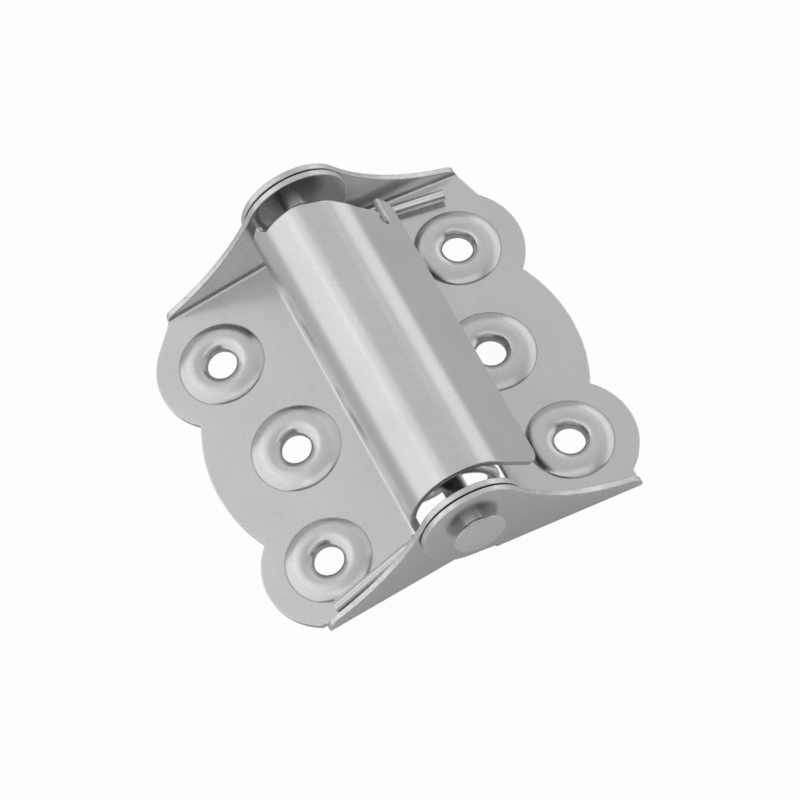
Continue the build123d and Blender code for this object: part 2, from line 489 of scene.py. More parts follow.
def inset(loop: np.ndarray, distance: float) -> np.ndarray:
    """Moves a closed outline into the sheet, which lies to its left.

    Args:
        loop: Its points.
        distance: How far it moves.

    Returns:
        The moved points, with edges that would turn back closed up.
    """
    ahead = np.roll(loop, -1, axis=0) - loop
    ahead /= np.linalg.norm(ahead, axis=1)[:, None]
    across = np.stack([-ahead[:, 1], ahead[:, 0]], 1)
    normal = across + np.roll(across, 1, axis=0)
    normal /= np.linalg.norm(normal, axis=1)[:, None]
    reach = distance / np.maximum((normal * across).sum(1), SHORTEST_MITRE)
    moved = loop + normal * reach[:, None]
    for _ in range(CLOSING_PASSES):
        step = np.roll(moved, -1, axis=0) - moved
        back = np.nonzero((step * ahead).sum(1) < 0)[0]
        if not len(back):
            break
        after = (back + 1) % len(moved)
        middle = (moved[back] + moved[after]) / 2
        moved[back] = middle
        moved[after] = middle
    return moved


def triangulated(
    loops: list[np.ndarray], inside: np.ndarray
) -> tuple[np.ndarray, np.ndarray, np.ndarray]:
    """Fills the hull of some points with triangles that keep the edges of some closed outlines.

    Args:
        loops: The outlines.
        inside: Single points.

    Returns:
        The points with those where edges cross, the triangles, and where each given point went.
    """
    points = np.concatenate(loops + [inside])
    edges: list[tuple[int, int]] = []
    for loop in loops:
        first, count = len(edges), len(loop)
        edges += [(first + k, first + (k + 1) % count) for k in range(count)]
    found, _, faces, origins, _, _ = delaunay_2d_cdt([Vector(p) for p in points], edges, [], 0, TOUCHING)
    places = np.array([tuple(p) for p in found])
    triangles = np.array(faces)
    one = places[triangles[:, 1]] - places[triangles[:, 0]]
    two = places[triangles[:, 2]] - places[triangles[:, 0]]
    flipped = one[:, 0] * two[:, 1] - one[:, 1] * two[:, 0] < 0
    triangles[flipped] = triangles[flipped][:, ::-1]
    went = np.zeros(len(points), int)
    for place, given in enumerate(origins):
        went[given] = place
    return places, triangles, went


@dataclass
class Blank:
    """A flat blank, cut from the sheet by a sequence of closed outlines."""

    steps: list[tuple[Step, np.ndarray]] = field(default_factory=list)

    def cut(self, step: Step, outline: np.ndarray | list) -> None:
        """Adds one outline to the sequence."""
        self.steps.append((step, np.array([tuple(p) for p in outline], float)))

    def holds(self, points: np.ndarray) -> np.ndarray:
        """Says which points are in the blank.

        Args:
            points: Points to test.

        Returns:
            True for each point in the blank.
        """
        held = np.zeros(len(points), bool)
        for step, outline in self.steps:
            inside = enclosed(points, [outline])
            if step is Step.ADD:
                held |= inside
            elif step is Step.REMOVE:
                held &= ~inside
            else:
                held &= inside
        return held

    def loops(self) -> list[np.ndarray]:
        """Finds the blank's edge.

        Returns:
            The outlines, each with the sheet to its left.
        """
        outlines = [outline for _, outline in self.steps]
        places, triangles, _ = triangulated(outlines, np.empty((0, 2)))
        triangles = triangles[self.holds(places[triangles].mean(axis=1))]
        sides = np.concatenate([triangles[:, pair] for pair in ([0, 1], [1, 2], [2, 0])]).tolist()
        directed = {tuple(side) for side in sides}
        following = {a: b for a, b in sides if (b, a) not in directed}
        found = []
        while following:
            start, after = following.popitem()
            loop = [start]
            while after != start:
                loop.append(after)
                after = following.pop(after)
            found.append(places[loop])
        return found


def joined(rings: list[np.ndarray] | np.ndarray) -> list[list[int]]:
    """Makes the faces between closed rows of points, each of which is joined to the next.

    Args:
        rings: The rows, of one length.

    Returns:
        The faces, without the corners that fall together.
    """
    faces = []
    for upper, lower in zip(rings, rings[1:]):
        for corners in np.stack([np.roll(upper, -1), upper, lower, np.roll(lower, -1)], 1).tolist():
            kept = [p for k, p in enumerate(corners) if p != corners[k - 1]]
            if len(kept) > 2:
                faces.append(kept)
    return faces


def placed(name: str, data: bpy.types.ID) -> bpy.types.Object:
    """Puts a mesh, a lamp or a camera into the scene.

    Args:
        name: Its name.
        data: The mesh, lamp or camera.

    Returns:
        The object that shows it.
    """
    made = bpy.data.objects.new(name, data)
    bpy.context.scene.collection.objects.link(made)
    return made


def new_piece(
    name: str,
    places: np.ndarray,
    faces: list[list[int]],
    materials: list[bpy.types.Material],
    edge_faces: int = 0,
) -> bpy.types.Object:
    """Makes an object from points in millimetres.

    Args:
        name: The piece's name.
        places: Its points.
        faces: Its faces.
        materials: Its materials. The second one goes on the cut edge.
        edge_faces: How many of the last faces are cut edge.

    Returns:
        The object, shaded smooth between its creases.
    """
    mesh = bpy.data.meshes.new(name)
    mesh.from_pydata((places * MM).tolist(), [], faces)
    for material in materials:
        mesh.materials.append(material)
    if edge_faces:
        slots = np.zeros(len(faces), np.int32)
        slots[-edge_faces:] = 1
        mesh.polygons.foreach_set("material_index", slots)
    work = bmesh.new()
    work.from_mesh(mesh)
    bmesh.ops.dissolve_degenerate(work, dist=NO_LENGTH * MM, edges=work.edges)
    bmesh.ops.recalc_face_normals(work, faces=work.faces)
    work.to_mesh(mesh)
    work.free()
    mesh.shade_smooth()
    mesh.set_sharp_from_angle(angle=CREASE)
    return placed(name, mesh)


@dataclass
class Sheet:
    """The stock that both leaves are made of, and how finely it is drawn."""

    thickness: float = 1.1
    bend_radius: float = 0.6
    edge_rounding: float = 0.16
    edge_parts: int = 3
    support: float = 0.12
    edge_step: float = 0.33

    @property
    def fold_length(self) -> float:
        """Length of a right angled fold along the blank."""
        return self.bend_radius * QUARTER

    def edge_rows(self) -> list[tuple[float, float]]:
        """Divides the round of the cut edge into rows.

        Returns:
            How far in and how deep each row is, from the top face to the back.
        """
        rows = []
        for k in range(self.edge_parts + 1):
            turn = QUARTER * k / self.edge_parts
            rows.append((self.edge_rounding * (1 - sin(turn)), -self.edge_rounding * (1 - cos(turn))))
        return rows + [(far, -self.thickness - deep) for far, deep in reversed(rows)]

    def formed(
        self,
        name: str,
        blank: Blank,
        inside: np.ndarray,
        creases: list[np.ndarray],
        place: Callable[[np.ndarray, float], np.ndarray],
        materials: list[bpy.types.Material],
    ) -> bpy.types.Object:
        """Forms a blank into a piece with two faces and a rounded cut edge.

        Args:
            name: The piece's name.
            blank: Its flat blank.
            inside: Points that its faces need.
            creases: Closed outlines that its faces have to follow.
            place: Gives the place of points of the blank at a depth.
            materials: Materials of its faces and of its cut edge.

        Returns:
            The object.
        """
        loops = [spaced(loop, self.edge_step) for loop in blank.loops()]
        rows = self.edge_rows()
        rims = [inset(loop, rows[0][0]) for loop in loops]
        supports = [inset(loop, rows[0][0] + self.support) for loop in loops]
        inside = inside[enclosed(inside, supports)]
        inside = inside[far_from(inside, supports, self.edge_step / 2)]
        flat, triangles, went = triangulated(rims + supports + creases, inside)
        triangles = triangles[enclosed(flat[triangles].mean(axis=1), rims)]
        size = len(flat)
        places = [place(flat, 0.0), place(flat, -self.thickness)]
        faces = triangles.tolist() + (triangles[:, ::-1] + size).tolist()
        face_count = len(faces)
        made = 2 * size
        first = 0
        for loop in loops:
            count = len(loop)
            ring = went[first : first + count]
            rings = [ring]
            for far, deep in rows[1:-1]:
                places.append(place(inset(loop, far) if far > 0 else loop, deep))
                rings.append(np.arange(made, made + count))
                made += count
            rings.append(ring + size)
            faces += joined(rings)
            first += count
        edge_faces = len(faces) - face_count
        log.info("%s: %d faces on the sheet, %d round its edge", name, face_count, edge_faces)
        return new_piece(name, np.concatenate(places), faces, materials, edge_faces)


@dataclass
class Seat:
    """A raised screw seat, pressed up round its hole to a crest and sinking again to the hole's lip."""

    x: float
    y: float
    radius: float
    crest_radius: float = 4.5
    crest: float = 0.92
    bowl_radius: float = 3.2
    bowl: float = 0.55
    lip: float = 0.0
    hole_radius: float = 2.6
    groove_depth: float = 0.1
    groove_half: float = 0.08
    ring_step: float = 0.27
    point_step: float = 0.42
    bowl_band: float = 0.12
    ring_gap: float = 0.3
    last_gap: float = 0.1
    near_ring: float = 0.15
    far_ring: float = 0.6

    def height(self, from_centre: np.ndarray) -> np.ndarray:
        """Height of its face above the plate.

        Args:
            from_centre: Distances from its centre.

        Returns:
            The height at each of them.
        """
        rise = self.radius - self.crest_radius
        rise_arc = (rise**2 + self.crest**2) / (2 * self.crest)
        sink = self.crest_radius - self.bowl_radius
        drop = self.crest - self.bowl
        sink_arc = (sink**2 + drop**2) / (2 * drop)
        off = from_centre - self.crest_radius
        outer = self.crest - rise_arc + np.sqrt(np.maximum(rise_arc**2 - off**2, 0))
        inner = self.crest - sink_arc + np.sqrt(np.maximum(sink_arc**2 - off**2, 0))
        wall_share = (from_centre - self.hole_radius) / (self.bowl_radius - self.hole_radius)
        wall = self.lip + (self.bowl - self.lip) * wall_share
        height = np.where(off > 0, outer, np.where(from_centre > self.bowl_radius, inner, wall))
        height = np.where(from_centre < self.radius, np.maximum(height, 0), 0)
        groove = np.clip(1 - np.abs(from_centre - self.radius) / self.groove_half, 0, 1)
        return height - groove * self.groove_depth

    def rings(self) -> list[np.ndarray]:
        """Points that its curved face needs.

        Returns:
            The points, ring by ring.
        """
        bowl = [self.bowl_radius - self.bowl_band, self.bowl_radius, self.bowl_radius + self.bowl_band]
        last = self.radius - self.groove_half - self.last_gap
        slopes = np.arange(self.bowl_radius + self.ring_gap, last, self.ring_step)
        outside = [self.radius + self.groove_half + self.near_ring, self.radius + self.far_ring]
        radii = bowl + slopes.tolist() + outside
        return [circle((self.x, self.y), r, ceil(2 * pi * r / self.point_step)) for r in radii]

    def rims(self) -> list[np.ndarray]:
        """The creases of the groove round its foot.

        Returns:
            Three closed outlines.
        """
        count = ceil(2 * pi * self.radius / self.point_step)
        radii = (self.radius - self.groove_half, self.radius, self.radius + self.groove_half)
        return [circle((self.x, self.y), radius, count) for radius in radii]


@dataclass
class Leaf:
    """A leaf with a scalloped plate, three raised screw seats and an ear at each end of the pin."""

    side: Side
    name: str
    ear_y: float
    inner_x: float
    foot_x: float
    far_foot_x: float
    bore_radius: float
    sheet: Sheet = field(default_factory=Sheet)
    droop: float = radians(8.05)
    pin_height: float = 10.1
    hole_x: float = 23.65
    middle_hole_x: float = 19.55
    hole_pitch: float = 20.6
    hole_shift: float = -0.95
    lobe_radius: float = 11.37
    belly_radius: float = 28.0
    belly_reach: float = 34.5
    knuckle_radius: float = 9.2
    brow_angle: float = radians(38)
    ear_root_x: float = 4.0
    flange_start_y: float = 29.8
    near_foot_height: float = 2.3
    far_foot_height: float = 1.5
    foot_round: float = 1.7
    far_neck_y: float = 27.8
    seat_radius: float = 7.35
    middle_seat_radius: float = 7.65
    row_step: float = 0.9
    fold_rows: int = 10
    fold_gap: float = 0.25
    overlap: float = 1.0
    belly_points: int = 360
    lobe_points: int = 200
    knuckle_points: int = 180
    bore_points: int = 48
    hole_points: int = 60
    brow_parts: int = 60
    foot_parts: int = 8

    @property
    def lobe_reach(self) -> float:
        """How far the leaf reaches from the pin."""
        return self.hole_x + self.lobe_radius

    @property
    def pin_z(self) -> float:
        """Height of the pin when the scalloped edges rest on the floor."""
        under = self.pin_height + self.sheet.thickness
        return self.lobe_reach * sin(self.droop) + under * cos(self.droop)

    @property
    def flat_y(self) -> float:
        """Where the ears' folds start."""
        return self.ear_y - self.sheet.thickness - self.sheet.bend_radius

    def seats(self) -> list[Seat]:
        """The three screw seats."""
        return [
            Seat(self.hole_x, self.hole_shift - self.hole_pitch, self.seat_radius),
            Seat(self.hole_x, self.hole_shift + self.hole_pitch, self.seat_radius),
            Seat(self.middle_hole_x, self.hole_shift, self.middle_seat_radius),
        ]

    def lobe_edge(self, y: float) -> float:
        """How far out the far lobe's edge is at a place along the pin."""
        return self.hole_x + sqrt(self.lobe_radius**2 - (y - self.hole_shift - self.hole_pitch) ** 2)

    def climb(self, z: float) -> float:
        """How far along the blank a height on an ear is.

        Args:
            z: The height, from the pin.

        Returns:
            The distance along the blank, from the middle of the pin.
        """
        over = z + self.pin_height - self.sheet.bend_radius
        if over >= 0:
            return self.flat_y + self.sheet.fold_length + over
        turn = acos(min(1.0, -over / self.sheet.bend_radius))
        return self.flat_y + self.sheet.fold_length * turn / QUARTER

    def ear_outline(self, end: End) -> np.ndarray:
        """Outline of an ear on the blank, with the strip of plate that it folds up from.

        Args:
            end: The ear's end of the pin.

        Returns:
            The closed outline.
        """
        foot_x = self.foot_x if end is End.NEAR else self.far_foot_x
        height = self.near_foot_height if end is End.NEAR else self.far_foot_height
        root_y = self.flange_start_y if end is End.NEAR else self.far_neck_y
        corner = self.foot_round
        start = Vector((cos(self.brow_angle), sin(self.brow_angle))) * self.knuckle_radius
        heading = Vector((sin(self.brow_angle), -cos(self.brow_angle)))
        brow_end = Vector((foot_x - corner, height - self.pin_height))
        brow, heading = tangent_arc(start, heading, brow_end, self.brow_parts)
        side_view = [Vector((p.x, self.climb(p.y))) for p in brow]
        foot_end = side_view[-1] + Vector((corner, -corner))
        foot, _ = tangent_arc(side_view[-1], heading, foot_end, self.foot_parts)
        side_view += foot[1:]
        side_view += [
            (foot_x, min(self.flat_y, foot[-1].y)),
            (foot_x if end is End.NEAR else self.lobe_edge(root_y), root_y),
            (self.ear_root_x, root_y),
            (self.ear_root_x, self.climb(0)),
        ]
        return np.array([tuple(p) for p in side_view]) * (1, end.value)

    def web_outline(self, end: End) -> np.ndarray:
        """Outline of the web between an ear's fold and the underside of its knuckle.

        Args:
            end: The ear's end of the pin.

        Returns:
            The closed outline.
        """
        low = self.sheet.bend_radius - self.pin_height
        reach = hypot(self.ear_root_x, low)
        turn = acos(self.knuckle_radius / reach)
        touch = atan2(low, self.ear_root_x) - turn
        outline = [
            (self.ear_root_x, self.climb(0)),
            (self.ear_root_x, self.climb(low)),
            (self.knuckle_radius * cos(touch), self.climb(self.knuckle_radius * sin(touch))),
            (0.0, self.climb(0)),
        ]
        return np.array(outline) * (1, end.value)

    def blank(self) -> Blank:
        """Cuts the leaf's flat blank.

        Returns:
            The blank, with x outwards from the pin and y along it and up the ears.
        """
        made = Blank()
        outer_x = min(self.foot_x, self.far_foot_x)
        made.cut(Step.ADD, rectangle((self.inner_x, -self.flat_y), (outer_x, self.flat_y)))
        belly = (self.belly_reach - self.belly_radius, self.hole_shift)
        made.cut(Step.ADD, circle(belly, self.belly_radius, self.belly_points))
        for seat in self.seats()[:2]:
            made.cut(Step.ADD, circle((seat.x, seat.y), self.lobe_radius, self.lobe_points))
        past_x = self.lobe_reach + self.overlap
        made.cut(Step.KEEP_INSIDE, rectangle((self.inner_x, -self.flat_y), (past_x, self.flat_y)))
        for end in End:
            made.cut(Step.ADD, self.ear_outline(end))
            knuckle = (0.0, end.value * self.climb(0))
            start = end.value * self.brow_angle
            made.cut(Step.ADD, circle(knuckle, self.knuckle_radius, self.knuckle_points, start))
            made.cut(Step.ADD, self.web_outline(end))
            made.cut(Step.REMOVE, circle(knuckle, self.bore_radius, self.bore_points))
        for seat in self.seats():
            hole = circle((seat.x, seat.y), seat.hole_radius, self.hole_points)
            made.cut(Step.REMOVE, hole)
        return made

    @staticmethod
    def grid(along: np.ndarray, across: np.ndarray) -> np.ndarray:
        """Points at each pair of a place along and a place across."""
        return np.stack([a.ravel() for a in np.meshgrid(along, across)], 1)

    def inside(self) -> np.ndarray:
        """Points that the folds and the seats need.

        Returns:
            The points, on the blank.
        """
        fold = self.flat_y + np.linspace(0, self.sheet.fold_length, self.fold_rows)
        rows = np.concatenate([[self.flat_y - self.fold_gap], fold, [fold[-1] + self.fold_gap]])
        across = np.arange(self.ear_root_x, self.foot_x, self.row_step)
        found = [self.grid(across, end.value * rows) for end in End]
        for seat in self.seats():
            found += seat.rings()
        return np.concatenate(found)

    def raised(self, x: np.ndarray, y: np.ndarray) -> np.ndarray:
        """Height of the screw seats above the plate."""
        return sum(seat.height(np.hypot(x - seat.x, y - seat.y)) for seat in self.seats())

    def shaped(self, flat: np.ndarray, depth: float) -> np.ndarray:
        """Places of blank points in the leaf's own frame.

        Args:
            flat: Points of the blank.
            depth: How deep in the sheet they are, from its top face down.

        Returns:
            Their places: x outwards, y along the pin and z square to the plate, from the pin.
        """
        x, along = flat[:, 0], flat[:, 1]
        beyond = np.abs(along) - self.flat_y
        disc = x < self.ear_root_x - TOUCHING / 2
        turn = np.where(disc, 1.0, np.clip(beyond / self.sheet.fold_length, 0, 1)) * QUARTER
        over = beyond - self.sheet.fold_length
        over = np.where(disc, over, np.maximum(over, 0))
        reach = self.sheet.bend_radius - depth
        ear_y = np.sign(along) * (self.flat_y + reach * np.sin(turn))
        ear_z = self.sheet.bend_radius - reach * np.cos(turn) + over
        on_ear = beyond > 0
        y = np.where(on_ear, ear_y, along)
        z = np.where(on_ear, ear_z, depth + self.raised(x, along)) - self.pin_height
        return np.stack([x, y, z], 1)

    def place(self, flat: np.ndarray, depth: float) -> np.ndarray:
        """Places of blank points in the row frame.

        Args:
            flat: Points of the blank.
            depth: How deep in the sheet they are, from its top face down.

        Returns:
            Their places, in millimetres.
        """
        x, y, z = self.shaped(flat, depth).T
        out = self.side.value * (x * cos(self.droop) + z * sin(self.droop))
        return np.stack([out, y, self.pin_z - x * sin(self.droop) + z * cos(self.droop)], 1)

    def build(self, materials: list[bpy.types.Material]) -> bpy.types.Object:
        """Forms the leaf."""
        creases = [rim for seat in self.seats() for rim in seat.rims()]
        return self.sheet.formed(self.name, self.blank(), self.inside(), creases, self.place, materials)


@dataclass
class CoverLeaf(Leaf):
    """The leaf whose plate goes on round the spring as a rolled cover, ending in a flat tail."""

    far_foot_height: float = 1.1
    cover_radius: float = 9.5
    offset_x: float = 0.5
    offset_z: float = 0.33
    near_y: float = -29.25
    far_y: float = 27.25
    wall_y: float = 29.5
    far_step: float = 3.05
    step_x: float = -1.7
    shoulder_x: float = -7.9
    shoulder_slant: float = 0.9
    shoulder_step: float = 1.45
    tail_angle: float = radians(37)
    tail_length: float = 10.6
    tail_near_slant: float = 1.2
    tail_near_corner: float = 3.0
    tail_far_corner: float = 2.2
    slot_inset: float = 4.4
    slot_width: float = 2.1
    slot_depth: float = 1.6
    relief_length: float = 3.9
    relief_height: float = 8.6
    roll_step: float = radians(3)
    cover_row_step: float = 1.1
    first_row: float = 0.5
    wall_rows: int = 6
    tail_rows: tuple[float, ...] = (0, 0.25, 0.7, 1.4, 2.4, 3.6, 4.8, 6.0, 7.2, 8.4, 9.6)
    near_corner_parts: int = 14
    far_corner_parts: int = 12
    slot_parts: int = 10

    @property
    def fold_x(self) -> float:
        """Where the wall's fold starts."""
        return self.cover_radius - self.offset_x + self.sheet.bend_radius

    @property
    def wall_height(self) -> float:
        """Height of the flat wall between the fold and the roll."""
        return self.pin_height - self.sheet.bend_radius + self.offset_z

    @property
    def roll_angle(self) -> float:
        """How far the cover is rolled."""
        return pi + self.droop - self.tail_angle

    @property
    def roll_start(self) -> float:
        """Where the roll starts, along the blank from the fold."""
        return self.sheet.fold_length + self.wall_height

    @property
    def tail_start(self) -> float:
        """Where the flat tail starts, along the blank from the fold."""
        return self.roll_start + self.cover_radius * self.roll_angle

    def roll_at(self, world_x: float) -> float:
        """Finds where the roll has come over a place across the hinge.

        Args:
            world_x: The place, across the hinge from the pin.

        Returns:
            The distance along the blank, from the fold.
        """
        centre_x = self.offset_x * cos(self.droop) - self.offset_z * sin(self.droop)
        turn = acos((centre_x - world_x) / self.cover_radius) + self.droop
        return self.roll_start + self.cover_radius * turn

    def cover_outline(self) -> np.ndarray:
        """Outlines the cover on the blank.

        Returns:
            The closed outline, as distances from the fold and places along the pin.
        """
        relief_top = self.relief_height - self.sheet.bend_radius + self.sheet.fold_length
        tail_end = self.tail_start + self.tail_length
        relief_y = self.near_y + self.relief_length
        step_y = self.far_y - self.far_step
        slant = atan2(self.tail_near_slant, self.tail_length)
        corner_y = self.near_y + self.tail_near_slant
        near = tan((QUARTER - slant) / 2) * self.tail_near_corner
        far = self.tail_far_corner
        start = Vector((tail_end - near * cos(slant), corner_y - near * sin(slant)))
        end = Vector((tail_end, corner_y + near))
        heading = Vector((cos(slant), sin(slant)))
        near_arc, _ = tangent_arc(start, heading, end, self.near_corner_parts)
        far_start = Vector((tail_end, self.far_y - far))
        far_end = Vector((tail_end - far, self.far_y))
        far_arc, _ = tangent_arc(far_start, Vector((0, 1)), far_end, self.far_corner_parts)
        shoulder_end = self.shoulder_x + self.shoulder_slant
        return np.array(
            [(-self.overlap, relief_y), (relief_top, relief_y)]
            + [(relief_top, self.near_y), (self.tail_start, self.near_y)]
            + [tuple(p) for p in near_arc + far_arc]
            + self.slot()
            + [(self.tail_start, step_y), (self.roll_at(self.step_x), self.far_y)]
            + [(self.roll_at(shoulder_end), self.far_y)]
            + [(self.roll_at(self.shoulder_x), self.far_y + self.shoulder_step)]
            + [(self.roll_at(self.shoulder_x), self.wall_y), (-self.overlap, self.wall_y)]
        )

    def slot(self) -> list[tuple[float, float]]:
        """Outlines the slot beside the tab at the tail's far edge.

        Returns:
            Its points, as distances from the fold and places along the pin.
        """
        step_y = self.far_y - self.far_step
        bottom_y = step_y - self.slot_depth
        middle = self.tail_start + self.tail_length - self.slot_inset
        half = self.slot_width / 2
        turns = [-pi * k / self.slot_parts for k in range(self.slot_parts + 1)]
        bottom = [(middle + half * cos(turn), bottom_y + half * sin(turn)) for turn in turns]
        return [(middle + half, self.far_y)] + bottom + [(middle - half, step_y)]

    def blank(self) -> Blank:
        """Cuts the leaf's flat blank.

        Returns:
            The blank, with the cover going back over the pin from the fold.
        """
        made = super().blank()
        made.cut(Step.ADD, (self.fold_x, 0) + self.cover_outline() * (-1, 1))
        return made

    def inside(self) -> np.ndarray:
        """Points that the folds, the roll and the seats need.

        Returns:
            The points, on the blank.
        """
        fold = np.linspace(0, self.sheet.fold_length, self.fold_rows)
        rolled = self.roll_start + self.cover_radius * np.arange(0, self.roll_angle, self.roll_step)
        tail = self.tail_start + np.array(self.tail_rows)
        wall = np.linspace(fold[-1] + self.fold_gap, self.roll_start - self.fold_gap, self.wall_rows)
        rows = self.fold_x - np.concatenate([[-self.fold_gap], fold, wall, rolled, tail])
        along = np.arange(self.near_y + self.first_row, self.wall_y, self.cover_row_step)
        return np.concatenate([super().inside(), self.grid(rows, along)])

    def shaped(self, flat: np.ndarray, depth: float) -> np.ndarray:
        """Places of blank points in the leaf's own frame.

        Args:
            flat: Points of the blank.
            depth: How deep in the sheet they are, from its top face down.

        Returns:
            Their places, on the plate, an ear or the cover.
        """
        places = super().shaped(flat, depth)
        run = self.fold_x - flat[:, 0]
        turn = np.clip(run / self.sheet.fold_length, 0, 1) * QUARTER
        reach = self.sheet.bend_radius - depth
        wall_x = self.fold_x - reach * np.sin(turn)
        wall_z = self.sheet.bend_radius - reach * np.cos(turn)
        wall_z = wall_z + np.maximum(run - self.sheet.fold_length, 0)
        rolled = np.clip((run - self.roll_start) / self.cover_radius, 0, self.roll_angle)
        tail = np.maximum(run - self.tail_start, 0)
        spoke = self.cover_radius + depth
        roll_x = spoke * np.cos(rolled) - self.offset_x - tail * sin(self.roll_angle)
        roll_z = spoke * np.sin(rolled) + self.offset_z + tail * cos(self.roll_angle)
        on_roll = run > self.roll_start
        x = np.where(on_roll, roll_x, wall_x)
        z = np.where(on_roll, roll_z, wall_z - self.pin_height)
        on_cover = (run > 0) & (np.abs(flat[:, 1]) < (self.flange_start_y + self.wall_y) / 2)
        places[:, 0] = np.where(on_cover, x, places[:, 0])
        places[:, 2] = np.where(on_cover, z, places[:, 2])
        return places


@dataclass
class HingePin:
    """The pin, with a flat head at the near end and a set rivet head at the far end."""

    pin_z: float
    radius: float = 2.0
    head_radius: float = 4.6
    head_thickness: float = 0.5
    head_y: float = 35.65
    head_edge: float = 0.25
    head_edge_parts: int = 4
    crown: tuple[tuple[float, float], ...] = ((0.0, 0.0), (0.35, 0.005), (0.7, 0.03), (0.9, 0.06))
    rivet_radius: float = 3.4
    rivet_y: float = 34.35
    rivet_edge: float = 0.1
    rivet_taper: float = 0.08
    cap_edge: float = 0.12
    cap_radius: float = 2.2
    cap_face: float = 1.9
    count: int = 96

    def profile(self) -> list[tuple[float, float]]:
        """Outlines half of the pin's section.

        Returns:
            Places along the pin and radii, from the near end to the far end.
        """
        end = self.head_y + self.head_thickness
        rim = self.head_radius
        face = [(fall - end, rim * out) for out, fall in self.crown]
        front_y = face[-1][0]
        turns = [QUARTER * k / self.head_edge_parts for k in range(self.head_edge_parts + 1)]
        edge = [(self.head_edge * (1 - cos(turn)), self.head_edge * (1 - sin(turn))) for turn in turns]
        front = [(front_y + along, rim - down) for along, down in edge]
        back = [(-self.head_y - down, rim - along) for along, down in edge]
        shank = [(-self.head_y, self.radius), (self.rivet_y, self.radius)]
        rivet_rim = (self.rivet_y + self.rivet_edge, self.rivet_radius)
        rivet = [(self.rivet_y, self.rivet_radius - self.rivet_edge), rivet_rim]
        far_face = (self.rivet_y + end) / 2
        taper_end = (far_face + self.cap_edge, self.rivet_radius - self.rivet_taper)
        taper = [(far_face, self.rivet_radius), taper_end]
        cap = [(end - self.cap_edge, self.cap_radius), (end, self.cap_face), (end, 0.0)]
        return face + front + back + shank + rivet + taper + cap

    def build(self, materials: list[bpy.types.Material]) -> bpy.types.Object:
        """Turns the profile round the pin's line.

        Args:
            materials: Its materials.

        Returns:
            The pin.
        """
        profile = self.profile()
        turns = np.arange(self.count) * 2 * pi / self.count
        places = []
        rings: list[np.ndarray] = []
        made = 0
        for y, radius in profile:
            count = 1 if radius == 0 else self.count
            x, z = radius * np.cos(turns), self.pin_z + radius * np.sin(turns)
            places.append(np.stack([x, np.full(self.count, y), z], 1)[:count])
            rings.append(np.full(self.count, made) if count == 1 else np.arange(made, made + count))
            made += count
        return new_piece("hinge_pin_turned", np.concatenate(places), joined(rings), materials)


